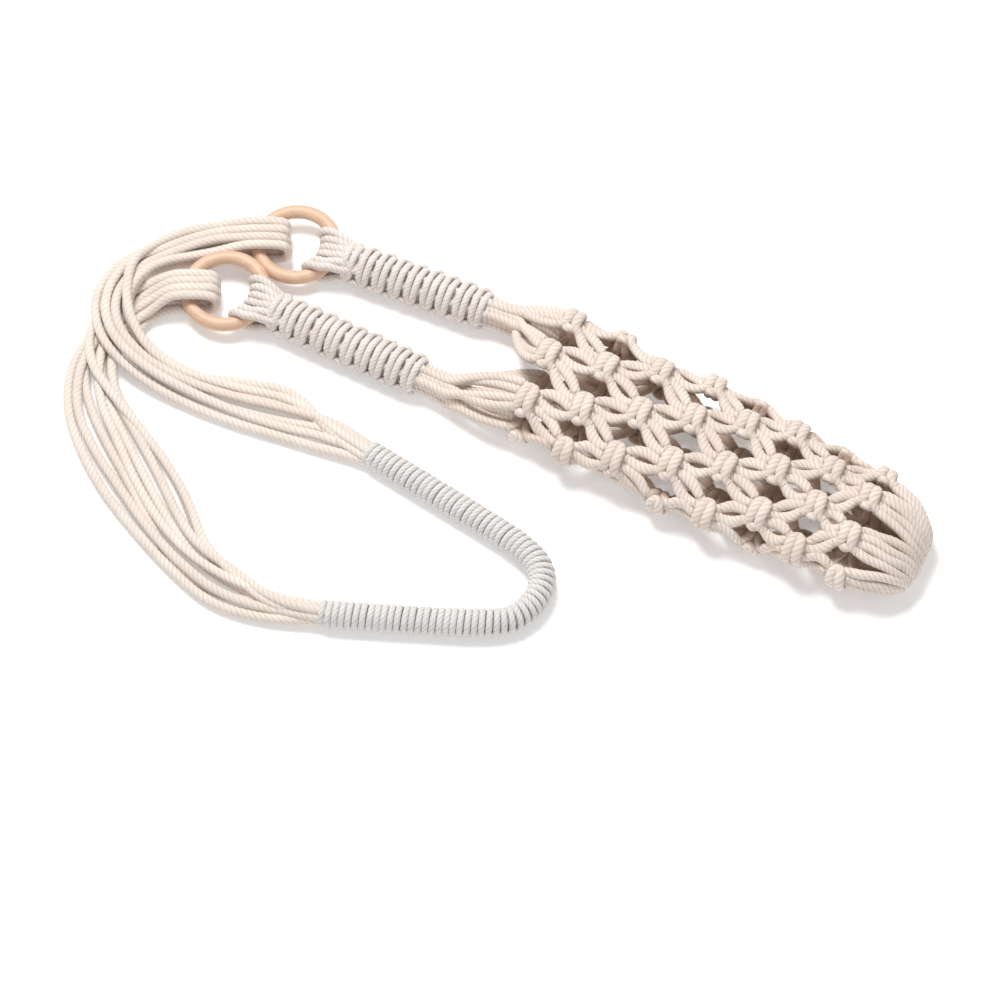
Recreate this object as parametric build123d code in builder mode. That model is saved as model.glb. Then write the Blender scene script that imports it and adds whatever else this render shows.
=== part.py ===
"""A macrame hanger: a knotted cotton net pouch, two square-knot arms, two wooden rings and a long
cord strap with a whipped grip, lying on a table. Millimetres. +X runs along the net to its closed
end, +Z is up, and the origin is on the table under the middle of the object without its strap cords."""
from build123d import *
import math
import os

# Every place below is measured from the point midway between the arms' ends.
MIDDLE = (65.09, -77.85)
# ---- rings ----
RING_R = 23.25                    # centre line of the ring's tube
RING_TUBE = 4.25
RUNNING_GAP = 0.35                # between a ring and the cord round it
RINGS = {                         # centre, heading of its arm, tilt that lifts the back edge
    "front": ((-142.5, -24.3, 12.0), -2.4, 5.0),
    "back": ((-119.6, 24.8, 11.3), 2.3, 4.0),
}
# ---- net cords round the rings ----
FOLD_HALF_ANGLE = 51              # six folded cords side by side
FOLD_INNER = 14.2                 # nearest the ring's centre
FOLD_OUTER = 25.0
FOLD_THROAT = 31.3                # where they enter the arm
FOLD_HALF_HEIGHT = 9.3
# ---- arms ----
CORE_R = 8.7                      # twelve cords of 4.5 in a round bundle
CORE_BITE = 1.2                   # how far it runs into the folded cords
SINNET_R = 12.5
SINNET_GROOVE_R = 10.9
SINNET_PITCH = 5.2
ARM_Z = 12.6
NECKS = {"front": (0.0, -30.4), "back": (16.0, 30.3)}
NECK_BALL_R = 10.4
NECK_BARE = 10.0                  # core left bare for the fold at the neck
# ---- net ----
NET_HALF_WIDTH = 43.0
NET_HALF_HEIGHT = 16.0
NET_AXIS_Z = 20.0
NET_LEAN = 0.085                  # sideways per length, as the net lies a little askew of its arms
NET_LEAN_FROM = 55.0
NET_NARROWS = (190.0, 285.0, 0.82)    # from, to, and the share of the width left there
COLUMNS = 6
ROW_X = [60, 93, 124, 154, 185, 215, 243, 270]
ROW_TWIST = [4, 0, -4, -8, -11, -14, -9, -2]      # each round sits a little round from the last
KNOT = (11.0, 14.0, 8.0)
KNOT_ROUNDING = 2.8
CORD_R = 2.1                      # a cord of 4.5 under light squeeze
PAIR_R = 3.0                      # a tube standing for two cords side by side
PAIR_OFFSET = 2.2
FAN_START = 11.8
FAN_RING = 6.4
END_X = 294.0
END_HALF = (13.0, 8.0)
GATHER = (16.0, 32.0, 21.0)
GATHER_ROUNDING = 7.5
# ---- strap ----
STRAND_HEADING = 205.5            # the way the strap cords leave both rings
STRAP_FOLD_HALF_WIDTH = 10.0
STRAP_FOLD_SHIFT = {"front": 0.0, "back": 3.5}
STRAP_FOLD_CAVITY = 5.6
STRAP_FOLD_WALL = 4.6
STRAP_FOLD_IN = 9.4               # slack inside the ring
STRAP_FOLD_OUT = 10.0
HANK_ROUNDING = 3.5
FOLD_HEADING = -41.4              # the strap lifts about a line square to this
FOLD_AT = -60.0
FOLD_Z = 16.0
FOLD_GAP = 0.4
# x, y, middle height, width, height of the eight cords side by side and on each other
BACK_HANK = [
    (-151.3, 13.6, 10.6, 20, 20.2), (-165, 7.5, 8.5, 20, 15), (-180, -2, 7.5, 20, 12),
    (-192, -16, 10, 20, 10.5), (-200, -36, 17, 21, 10), (-200.5, -60, 17, 22, 10),
    (-188, -80, 17, 22, 10), (-164, -92, 10.5, 22, 10), (-134, -95, 5.4, 24, 10),
    (-103, -92, 5.4, 28, 10), (-72, -87, 5.4, 31, 10), (-43, -86, 5.8, 26, 10.5),
    (-14.2, -89, 8.6, 14.5, 14.5),
]
FRONT_HANK = [
    (-172.8, -38.8, 11.1, 20, 20.2), (-184, -49, 6.3, 20, 12), (-191.5, -64, 5.2, 21, 10),
    (-196, -82, 5.2, 22, 10), (-193, -105, 5.2, 26, 10), (-179, -128, 5.2, 32, 10),
    (-157, -147, 5.2, 38, 10), (-133, -165, 5.2, 40, 10), (-107, -184, 5.2, 36, 10),
    (-80, -200, 5.3, 30, 10), (-51, -208, 5.6, 24, 10.5), (-21, -208, 7, 19, 13),
    (8.8, -200.1, 8.6, 14.5, 14.5),
]
# ---- grip ----
GRIP_CORE_R = 6.0
GRIP_R = 8.5
GRIP_Z = 8.6
GRIP_ROUTE = [(-14, -89), (50, -100), (104, -110), (119, -127), (116, -150), (104, -162.5),
              (59, -181), (9, -200)]

FROM_START = (Align.CENTER, Align.CENTER, Align.MIN)

os.makedirs("parts", exist_ok=True)


def save(name, part):
    """Writes one named sub-part, moved so that the frame's origin is under the middle of the object."""
    placed = part.moved(Location((-MIDDLE[0], -MIDDLE[1], 0.03)))
    placed.label = name
    export_step(placed, f"parts/{name}.step")


def polar(length, degrees):
    return Vector(length * math.cos(math.radians(degrees)), length * math.sin(math.radians(degrees)), 0)


def section_outline(steps=1440):
    """The net's cross-section as (length round from the top, y, z): an ellipse above, squarer below."""
    rows, length, before = [], 0.0, None
    for i in range(steps + 1):
        turn = 2 * math.pi * i / steps
        side, rise = math.sin(turn), math.cos(turn)
        power = 1.0 if rise >= 0 else 0.72
        y = NET_HALF_WIDTH * math.copysign(abs(side) ** power, side)
        z = NET_HALF_HEIGHT * math.copysign(abs(rise) ** power, rise)
        if before:
            length += math.dist(before, (y, z))
        rows.append((length, y, z))
        before = (y, z)
    return rows


OUTLINE = section_outline()
GIRTH = OUTLINE[-1][0]
PITCH = GIRTH / COLUMNS


def around(s):
    """The point (y, z) of the cross-section that lies s round from its top, towards +Y."""
    s %= GIRTH
    for (s0, y0, z0), (s1, y1, z1) in zip(OUTLINE, OUTLINE[1:]):
        if s <= s1:
            share = (s - s0) / (s1 - s0)
            return y0 + share * (y1 - y0), z0 + share * (z1 - z0)
    return OUTLINE[-1][1:]


def lean(x):
    """How far the net's middle lies to the side there."""
    return -NET_LEAN * max(x - NET_LEAN_FROM, 0.0)


def width_share(x):
    begin, end, left = NET_NARROWS
    share = min(max((x - begin) / (end - begin), 0.0), 1.0)
    return 1 - (1 - left) * share * share * (3 - 2 * share)


def on_net(x, s):
    y, z = around(s)
    return Vector(x, y * width_share(x) + lean(x), NET_AXIS_Z + z)


def knot_plane(x, s):
    """A plane on the net's surface: its x along the net, its normal outward."""
    (y0, z0), (y1, z1) = around(s - 3), around(s + 3)
    return Plane(origin=on_net(x, s), x_dir=(1, 0, 0), z_dir=Vector(0, -(z1 - z0), y1 - y0))


def knot_places(row):
    """Each knot of a round as its length round from the top."""
    return [ROW_TWIST[row] + PITCH * (j + 0.5 * (row % 2)) for j in range(COLUMNS)]


def run(start, end):
    """Where a straight length of cord stands: a plane at its start, square to it."""
    return Locations(Plane(origin=start, z_dir=end - start))


# ---- rings ----
ring_planes = {}
for side, (centre, heading, tilt) in RINGS.items():
    along = polar(1, heading)
    normal = Vector(0, 0, 1).rotate(Axis((0, 0, 0), along), tilt)
    ring_planes[side] = Plane(origin=centre, x_dir=along, z_dir=normal)
    with BuildPart() as ring:
        with BuildSketch(Plane(origin=centre, x_dir=along, z_dir=along.cross(normal))):
            with Locations((RING_R, 0)):
                Circle(RING_TUBE)
        revolve(axis=Axis(centre, normal))
    save(f"{side}_ring", ring.part)

# ---- net cords folded round the rings ----
for side, plane in ring_planes.items():
    corner_out = polar(FOLD_OUTER, FOLD_HALF_ANGLE)
    corner_in = polar(FOLD_INNER, FOLD_HALF_ANGLE)
    with BuildPart() as loops:
        with BuildSketch(plane):
            with BuildLine():
                Polyline(
                    (corner_in.X, corner_in.Y), (corner_out.X, corner_out.Y),
                    (FOLD_THROAT, CORE_R), (FOLD_THROAT, -CORE_R),
                    (corner_out.X, -corner_out.Y), (corner_in.X, -corner_in.Y),
                )
                ThreePointArc((corner_in.X, -corner_in.Y), (FOLD_INNER, 0), (corner_in.X, corner_in.Y))
            make_face()
        extrude(amount=FOLD_HALF_HEIGHT, both=True)
        with Locations(plane):
            Torus(RING_R, RING_TUBE + RUNNING_GAP, mode=Mode.SUBTRACT)
    save(f"{side}_ring_loops", loops.part)

# ---- arms: a bundle of cords, and the square-knot sinnet round it ----
for side, (neck_x, neck_y) in NECKS.items():
    neck = Vector(neck_x, neck_y, ARM_Z)
    throat = ring_planes[side].from_local_coords((FOLD_THROAT + 0.4, 0, 0))
    arm_start = Vector(throat.X, throat.Y, ARM_Z)
    along = (neck - arm_start).normalized()
    with BuildPart() as core:
        with run(arm_start - along * CORE_BITE, neck):
            Cylinder(CORE_R, (neck - arm_start).length + CORE_BITE, align=FROM_START)
        with Locations(neck):
            Sphere(NECK_BALL_R)
    save(f"{side}_arm_core", core.part)

    sinnet_length = (neck - arm_start).length - NECK_BARE
    bars = round(sinnet_length / SINNET_PITCH)
    pitch = sinnet_length / bars
    with BuildPart() as sinnet:
        with BuildSketch(Plane(origin=arm_start, x_dir=along, z_dir=along.cross(Vector(0, 0, 1)))):
            with BuildLine():
                for i in range(bars):
                    ThreePointArc(
                        (i * pitch, SINNET_GROOVE_R), ((i + 0.5) * pitch, SINNET_R),
                        ((i + 1) * pitch, SINNET_GROOVE_R),
                    )
                Polyline(
                    (sinnet_length, SINNET_GROOVE_R), (sinnet_length, CORE_R), (0, CORE_R),
                    (0, SINNET_GROOVE_R),
                )
            make_face()
        revolve(axis=Axis(arm_start, along))
    save(f"{side}_arm_sinnet", sinnet.part)

# ---- net: cords that fan from each neck, rounds of square knots, and the pairs between them ----
FAN_KNOTS = {                     # which first-round knots an arm feeds, with the angles its cords leave at
    "front": [(5, (65, 125)), (4, (185, 245)), (3, (305, 365))],
    "back": [(0, (125, 185)), (1, (5, 65)), (2, (245, 305))],
}
for side, (neck_x, neck_y) in NECKS.items():
    with BuildPart() as fan:
        for column, angles in FAN_KNOTS[side]:
            s = knot_places(0)[column]
            for angle, shift in zip(angles, (1, -1)):
                out = polar(FAN_RING, angle)
                start = Vector(neck_x + FAN_START, neck_y + out.X, ARM_Z + out.Y)
                end = on_net(ROW_X[0] - 4.0, s + 3.3 * shift)
                with run(start, end):
                    Cylinder(PAIR_R, (end - start).length, align=FROM_START)
    save(f"{side}_fan_cords", fan.part)

for row, x in enumerate(ROW_X):
    with BuildPart() as knots:
        for s in knot_places(row):
            plane = knot_plane(x, s)
            with BuildSketch(plane.offset(-KNOT[2] / 2)):
                Rectangle(KNOT[0], KNOT[1])
            extrude(amount=KNOT[2])
        fillet(knots.edges(), KNOT_ROUNDING)
    save(f"net_knots_round_{row + 1}", knots.part)

for row in range(len(ROW_X) - 1):
    side_step = PITCH / 2
    drift = ROW_TWIST[row + 1] - ROW_TWIST[row]
    with BuildPart() as legs:
        for s in knot_places(row):
            for way in (-1, 1):
                s_end = s + way * side_step + drift
                x0, x1 = ROW_X[row] + 4.6, ROW_X[row + 1] - 4.6
                s0, s1 = s + way * 4.5, s_end - way * 4.5
                slant = math.atan2(s1 - s0, x1 - x0)
                for offset in (-PAIR_OFFSET, PAIR_OFFSET):
                    dx, ds = -offset * math.sin(slant), offset * math.cos(slant)
                    start, end = on_net(x0 + dx, s0 + ds), on_net(x1 + dx, s1 + ds)
                    with run(start, end):
                        Cylinder(CORD_R, (end - start).length, align=FROM_START)
    save(f"net_cords_{row + 1}_to_{row + 2}", legs.part)

with BuildPart() as end_cords:
    for s in knot_places(len(ROW_X) - 1):
        for shift in (-4.5, 4.5):
            start = on_net(ROW_X[-1] + 4.6, s + shift)
            turn = 2 * math.pi * (s + shift * 1.6) / GIRTH
            end = Vector(
                END_X, END_HALF[0] * math.sin(turn) + lean(END_X), NET_AXIS_Z + END_HALF[1] * math.cos(turn))
            with run(start, end):
                Cylinder(CORD_R, (end - start).length, align=FROM_START)
save("net_end_cords", end_cords.part)

with BuildPart() as gather:
    with BuildSketch(Plane.YZ.offset(END_X - 3)):
        with Locations((lean(END_X), NET_AXIS_Z)):
            Rectangle(GATHER[1], GATHER[2])
    extrude(amount=GATHER[0])
    fillet(gather.edges(), GATHER_ROUNDING)
save("net_end_gather", gather.part)

# ---- strap: cords folded through each ring ----
leave = polar(1, STRAND_HEADING)
for side, plane in ring_planes.items():
    square = polar(1, STRAND_HEADING - 90)
    crossing = plane.origin + leave * RING_R + square * STRAP_FOLD_SHIFT[side]
    on_plane = crossing - plane.z_dir * plane.to_local_coords(crossing).Z
    middle = Vector(crossing.X, crossing.Y, on_plane.Z)
    outer = STRAP_FOLD_CAVITY + STRAP_FOLD_WALL
    span = STRAP_FOLD_OUT + STRAP_FOLD_IN
    with BuildPart() as fold:
        with BuildSketch(Plane(origin=middle, x_dir=leave, z_dir=square)):
            for half, mode in ((outer, Mode.ADD), (STRAP_FOLD_CAVITY, Mode.SUBTRACT)):
                with Locations((STRAP_FOLD_OUT - span / 2, 0)):
                    Rectangle(span, 2 * half, mode=mode)
                with Locations((-STRAP_FOLD_IN, 0)):
                    Circle(half, mode=mode)
        extrude(amount=STRAP_FOLD_HALF_WIDTH, both=True)
    save(f"{side}_strap_loops", fold.part)

# ---- strap: the two hanks of eight cords, each cut at the line where the strap lifts ----
lift_way = polar(1, FOLD_HEADING)
lift_plane = Plane(origin=lift_way * FOLD_AT, z_dir=lift_way)


def hank(stations, heading_in, heading_out):
    """A closed solid that follows the cords, wide where they fan out."""
    sections = []
    for i, (x, y, z, width, height) in enumerate(stations):
        before, after = stations[max(i - 1, 0)], stations[min(i + 1, len(stations) - 1)]
        way = Vector(after[0] - before[0], after[1] - before[1], 0)
        if i == 0:
            way = polar(1, heading_in)
        elif i == len(stations) - 1:
            way = polar(1, heading_out)
        across = way.cross(Vector(0, 0, 1)).normalized()
        with BuildSketch(Plane(origin=(x, y, z), x_dir=across, z_dir=way)) as section:
            RectangleRounded(width, height, HANK_ROUNDING)
        sections.append(section.sketch)
    return loft(sections, ruled=True, mode=Mode.PRIVATE)


for side, stations, grip_end, grip_next in (
    ("back", BACK_HANK, GRIP_ROUTE[0], GRIP_ROUTE[1]), ("front", FRONT_HANK, GRIP_ROUTE[-1], GRIP_ROUTE[-2]),
):
    into_grip = math.degrees(math.atan2(grip_next[1] - grip_end[1], grip_next[0] - grip_end[0]))
    whole = hank(stations, STRAND_HEADING, into_grip)
    for name, keep, shift in (("at_ring", Keep.BOTTOM, -FOLD_GAP), ("at_grip", Keep.TOP, FOLD_GAP)):
        with BuildPart() as half:
            add(whole)
            split(bisect_by=lift_plane.offset(shift), keep=keep)
        save(f"{side}_strap_cords_{name}", half.part)


def corner_radii(points):
    """0.45 of the shorter run over the tangent of half the turn, for each corner."""
    radii = []
    for a, b, c in zip(points, points[1:], points[2:]):
        run_in, run_out = Vector(b) - Vector(a), Vector(c) - Vector(b)
        half_turn = math.radians(run_in.get_angle(run_out)) / 2
        radii.append(0.45 * min(run_in.length, run_out.length) / math.tan(half_turn))
    return radii


# ---- grip: the strap's cords gathered inside a tight whipping ----
grip_points = [(x, y, GRIP_Z) for x, y in GRIP_ROUTE]
grip_radii = corner_radii(grip_points)
print("grip radii", [round(r, 1) for r in grip_radii])
with BuildLine() as grip_line:
    grip_path = FilletPolyline(*grip_points, radius=grip_radii)
for name, outer_r, inner_r in (("grip_core", GRIP_CORE_R, 0), ("grip_whipping", GRIP_R, GRIP_CORE_R)):
    with BuildPart() as grip:
        with BuildSketch(Plane(origin=grip_path @ 0, z_dir=grip_path % 0)):
            Circle(outer_r)
            if inner_r:
                Circle(inner_r, mode=Mode.SUBTRACT)
        sweep(path=grip_path)
    save(name, grip.part)
print("grip length", round(grip_path.length, 1), "girth", round(GIRTH, 1), "pitch", round(PITCH, 2))
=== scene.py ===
"""A macrame net hanger in cotton cord: net, knotted arms, beech rings, loose strap and whipped grip.
Lengths are in millimetres until a piece is made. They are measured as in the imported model's own
drawing, from a point between the ends of the two arms."""
import bpy
import math
import random
import numpy as np
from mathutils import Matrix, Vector


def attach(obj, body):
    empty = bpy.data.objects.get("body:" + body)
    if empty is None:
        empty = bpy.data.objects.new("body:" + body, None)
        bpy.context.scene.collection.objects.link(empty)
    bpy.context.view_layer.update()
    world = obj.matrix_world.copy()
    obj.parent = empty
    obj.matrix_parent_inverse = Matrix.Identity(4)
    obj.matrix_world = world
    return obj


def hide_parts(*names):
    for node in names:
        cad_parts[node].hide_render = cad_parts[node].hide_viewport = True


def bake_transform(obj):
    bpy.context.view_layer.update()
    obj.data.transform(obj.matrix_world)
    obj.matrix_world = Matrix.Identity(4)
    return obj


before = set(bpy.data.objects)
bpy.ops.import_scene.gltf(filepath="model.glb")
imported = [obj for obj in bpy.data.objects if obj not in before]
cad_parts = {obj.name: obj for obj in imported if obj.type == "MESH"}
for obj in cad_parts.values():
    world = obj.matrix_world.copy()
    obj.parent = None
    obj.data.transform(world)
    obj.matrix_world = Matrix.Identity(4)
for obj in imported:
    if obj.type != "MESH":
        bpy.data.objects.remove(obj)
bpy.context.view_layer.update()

MIDDLE = np.array((65.09, -77.85, -0.03))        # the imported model's origin, in the drawing
CORD = 5.4                         # thickness of the net cord where it runs free
SLEEVE_CORD = 4.3                  # the same cord pulled tight in the arms
FOLD_CORD = 5.3                    # and where it is folded round a ring
STRAP_CORD = 5.2
LAY = 12.5                         # length of one full turn of the plies
SLEEVE_LAY, STRAP_LAY, WHIPPING_LAY, GRIP_CORE_LAY = 10.0, 14.5, 11.0, 40.0
STEP = 1.15                        # between the rings of points along a cord
PLY_SHAPE = np.array([0.92, 0.99, 0.99] * 4)     # a ring's points: groove and crown of four plies
# Painted shade in the ply grooves: a point's share of the pale crown colour, where 0 gives the darker groove
# colour.
PLY_GROOVE_SHADE_MASK = np.array([0.0, 0.95, 0.95] * 4)
AROUND = len(PLY_SHAPE)
FLOOR_GAP = 0.15                   # left under a cord that rests on the floor
FLOOR_EASE = 1.2                   # how gently its route comes to rest there
FLOOR_PRESS = 0.25                 # how far it is pressed down where it does
STREAK_LENGTH = 9.0                # of cord, to one unit of the cotton's streaks
STREAK_SHIFT = 7                   # sets cords of different tone apart in the streaks


def heading(degrees, length=1.0):
    turn = math.radians(degrees)
    return np.array((length * math.cos(turn), length * math.sin(turn), 0.0))


def unit(rows):
    rows = np.asarray(rows, float)
    return rows / np.maximum(np.linalg.norm(rows, axis=-1, keepdims=True), 1e-9)


def smooth(value):
    value = np.clip(value, 0.0, 1.0)
    return value * value * (3 - 2 * value)


def metres(x, y, z):
    return tuple((np.array((x, y, z)) - MIDDLE) / 1000.0)


# ------------------------------------------------------------------ camera, in metres
AZIMUTH, ELEVATION = math.radians(25.5), math.radians(58.0)
DISTANCE = 3.0
VIEW_WIDTH = 0.59
AIM_RIGHT, AIM_UP = 0.0008, -0.0028
SENSOR = 36.0
to_camera = Vector((
    math.sin(AZIMUTH) * math.cos(ELEVATION), -math.cos(AZIMUTH) * math.cos(ELEVATION),
    math.sin(ELEVATION)))
camera_right = Vector((math.cos(AZIMUTH), math.sin(AZIMUTH), 0))
camera_up = to_camera.cross(camera_right)
aim = camera_right * AIM_RIGHT + camera_up * AIM_UP
camera_data = bpy.data.cameras.new("camera")
camera_data.sensor_width = SENSOR
camera_data.lens = SENSOR * DISTANCE / VIEW_WIDTH
camera_data.clip_end = 20.0
camera = bpy.data.objects.new("camera", camera_data)
camera.location = aim + to_camera * DISTANCE
camera.rotation_euler = to_camera.to_track_quat("Z", "Y").to_euler()
bpy.context.scene.collection.objects.link(camera)
bpy.context.scene.camera = camera


# ------------------------------------------------------------------ shading
class Value:
    """A node's output, on which Python's operators add Math nodes."""

    def __init__(self, paint, socket):
        self.paint = paint
        self.socket = socket

    def sum(self, kind, a, b):
        return self.paint.node("ShaderNodeMath", {"operation": kind}, {0: a, 1: b})

    def __add__(self, other): return self.sum("ADD", self, other)
    def __radd__(self, other): return self.sum("ADD", other, self)
    def __sub__(self, other): return self.sum("SUBTRACT", self, other)
    def __rsub__(self, other): return self.sum("SUBTRACT", other, self)
    def __mul__(self, other): return self.sum("MULTIPLY", self, other)
    def __rmul__(self, other): return self.sum("MULTIPLY", other, self)

    def clamp(self): return self.sum("MINIMUM", self.sum("MAXIMUM", self, 0.0), 1.0)


class Paint:
    """Builds one material's nodes."""

    def __init__(self, name):
        self.material = bpy.data.materials.new(name)
        self.material.use_nodes = True
        self.tree = self.material.node_tree
        self.tree.nodes.clear()

    def node(self, kind, settings, inputs, output=0):
        made = self.tree.nodes.new(kind)
        for key, value in settings.items():
            setattr(made, key, value)
        for key, value in inputs.items():
            socket = made.inputs[key]
            if isinstance(value, Value):
                self.tree.links.new(value.socket, socket)
            else:
                socket.default_value = value
        return Value(self, made.outputs[output])

    def attribute(self, name, output):
        return self.node("ShaderNodeAttribute", {"attribute_name": name}, {}, output)

    def split(self, vector):
        return [self.node("ShaderNodeSeparateXYZ", {}, {0: vector}, i) for i in range(3)]

    def noise(self, vector, scale, detail=2.0, rough=0.5):
        return self.node("ShaderNodeTexNoise", {}, {
            "Vector": vector, "Scale": scale, "Detail": detail, "Roughness": rough}, "Fac")

    def mix(self, factor, a, b):
        return self.node("ShaderNodeMix", {"data_type": "RGBA"}, {0: factor, 6: a, 7: b}, 2)

    def bump(self, strength, distance, height):
        return self.node("ShaderNodeBump", {}, {
            "Strength": strength, "Distance": distance, "Height": height})

    def surface(self, settings, links):
        shader = self.tree.nodes.new("ShaderNodeBsdfPrincipled")
        for key, value in settings.items():
            shader.inputs[key].default_value = value
        for key, value in links.items():
            self.tree.links.new(value.socket, shader.inputs[key])
        out = self.tree.nodes.new("ShaderNodeOutputMaterial")
        self.tree.links.new(shader.outputs[0], out.inputs[0])
        return self.material


def cotton(name, light, shade, groove_shade_colour, inside, shade_edge=0.2):
    """Four-ply cotton: pale crowns, painted shade in the grooves and on the inner sides, streaks along the
    yarns, soft fuzz.
    """
    paint = Paint(name)
    groove_shade_mask, tone, facing = paint.split(paint.attribute("cord_shade_and_tone", "Vector"))
    along = paint.attribute("cord_lay", "Vector")
    place = paint.node("ShaderNodeTexCoord", {}, {}, "Object")
    streak = paint.noise(along, 3.2, 3.0, 0.6)
    patch = paint.noise(place, 55.0, 2.0)
    lint = paint.noise(place, 1900.0, 2.0, 0.7)
    # Painted shade: the grooves between the plies take the darker groove colour, broken up by the yarn
    # streaks and lint.
    groove_shade_and_streaks = (groove_shade_mask * 0.6 + 0.44 + (streak - 0.5) + (lint - 0.5) * 0.5).clamp()
    body = paint.mix((patch * 1.5 - 0.35 + (tone - 0.5) * 0.8).clamp(), shade, light)
    colour = paint.mix(groove_shade_and_streaks, groove_shade_colour, body)
    # Painted shade: the side of a cord turned inward takes the darker inside colour, as if shade fell there.
    inner_side_shade_mask = ((facing - shade_edge) * 2.4 + (streak - 0.5) * 0.3).clamp()
    colour = paint.mix(inner_side_shade_mask, inside, colour)
    return paint.surface(
        {"Roughness": 0.92, "Sheen Weight": 0.2, "Sheen Roughness": 0.6, "Specular IOR Level": 0.2},
        {"Base Color": colour, "Normal": paint.bump(0.6, 0.0005, streak * 0.5 + lint * 0.5)})


def beech(name, grain_way):
    """Turned beech: pale peach wood with fine straight grain and short dark flecks."""
    paint = Paint(name)
    place = paint.node("ShaderNodeTexCoord", {}, {}, "Object")

    def drawn_out(length):
        return paint.node("ShaderNodeMapping", {"vector_type": "TEXTURE"}, {
            "Vector": place, "Rotation": (0.0, 0.0, math.radians(grain_way)),
            "Scale": (length, 1.0, 1.0)})

    bands = paint.noise(drawn_out(11.0), 320.0, 3.0, 0.6)
    broad = paint.noise(drawn_out(11.0), 70.0, 2.0)
    fleck = paint.noise(drawn_out(5.0), 1500.0, 1.0)
    base = paint.mix(
        (bands * 0.9 + broad * 0.6 - 0.3).clamp(), (0.60, 0.37, 0.24, 1), (0.80, 0.585, 0.44, 1))
    spots = ((fleck - 0.64) * 9.0).clamp() * 0.45
    colour = paint.mix(spots, base, (0.38, 0.20, 0.11, 1))
    return paint.surface({"Specular IOR Level": 0.45}, {
        "Base Color": colour, "Roughness": bands * 0.18 + 0.38,
        "Normal": paint.bump(0.25, 0.0002, bands + fleck * 0.4)})


# The groove and inside colours are painted shade, for the ply grooves and the cords' inner sides; light and
# shade are the cotton's own paler and darker tones, mixed at random.
NET_COTTON = cotton(
    "net_cotton", light=(0.87, 0.785, 0.725, 1), shade=(0.76, 0.66, 0.59, 1),
    groove_shade_colour=(0.50, 0.39, 0.32, 1), inside=(0.55, 0.41, 0.32, 1), shade_edge=0.14)
ARM_COTTON = cotton(
    "arm_cotton", light=(0.86, 0.80, 0.76, 1), shade=(0.75, 0.685, 0.64, 1),
    groove_shade_colour=(0.50, 0.44, 0.395, 1), inside=(0.44, 0.38, 0.34, 1), shade_edge=0.24)
STRAP_COTTON = cotton(
    "strap_cotton", light=(0.86, 0.775, 0.71, 1), shade=(0.75, 0.66, 0.595, 1),
    groove_shade_colour=(0.56, 0.475, 0.41, 1), inside=(0.56, 0.475, 0.41, 1))
WHIPPING_COTTON = cotton(
    "whipping_cotton", light=(0.80, 0.78, 0.765, 1), shade=(0.71, 0.69, 0.675, 1),
    groove_shade_colour=(0.48, 0.45, 0.42, 1), inside=(0.36, 0.33, 0.31, 1), shade_edge=0.26)


# ------------------------------------------------------------------ lengths of cord
def spline(knots, per=10):
    """A smooth line through rows of any width, with the row number that each of its points lies at."""
    rows = np.asarray(knots, float)
    padded = np.vstack((2 * rows[0] - rows[1], rows, 2 * rows[-1] - rows[-2]))
    share = np.linspace(0, 1, per, endpoint=False)[:, None]
    stretches = []
    for i in range(len(rows) - 1):
        a, b, c, d = padded[i:i + 4]
        stretches.append(0.5 * (
            2 * b + (c - a) * share + (2 * a - 5 * b + 4 * c - d) * share ** 2
            + (3 * b - a - 3 * c + d) * share ** 3))
    stretches.append(rows[-1:])
    return np.vstack(stretches), np.append(np.arange((len(rows) - 1) * per) / per, len(rows) - 1)


def run_length(spots):
    """How far along the line each of its points lies."""
    return np.concatenate(([0], np.cumsum(np.linalg.norm(np.diff(spots, axis=0), axis=1))))


def even(rows, numbers, step=STEP, soften=1):
    """The same line with its points evenly spaced along it, and their row numbers."""
    length = run_length(rows[:, :3])
    count = max(int(round(length[-1] / step)), 2) + 1
    where = np.linspace(0, length[-1], count)
    out = np.column_stack([np.interp(where, length, rows[:, k]) for k in range(rows.shape[1])])
    for _ in range(soften):
        out[1:-1] = out[1:-1] * 0.5 + (out[:-2] + out[2:]) * 0.25
    return out, np.interp(where, length, numbers)


def nurbs_line(points, per=12):
    """The points of an open NURBS of third order that has these control points."""
    curve = bpy.data.curves.new("route", "CURVE")
    curve.dimensions = "3D"
    line = curve.splines.new("NURBS")
    line.points.add(len(points) - 1)
    for point, place in zip(line.points, points):
        point.co = (*(np.asarray(place) / 1000.0), 1.0)
    line.order_u = 3
    line.use_endpoint_u = True
    line.resolution_u = per
    holder = bpy.data.objects.new("route", curve)
    mesh = bpy.data.meshes.new_from_object(holder)
    rows = np.array([v.co for v in mesh.vertices]) * 1000.0
    bpy.data.objects.remove(holder)
    bpy.data.curves.remove(curve)
    bpy.data.meshes.remove(mesh)
    return rows


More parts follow.
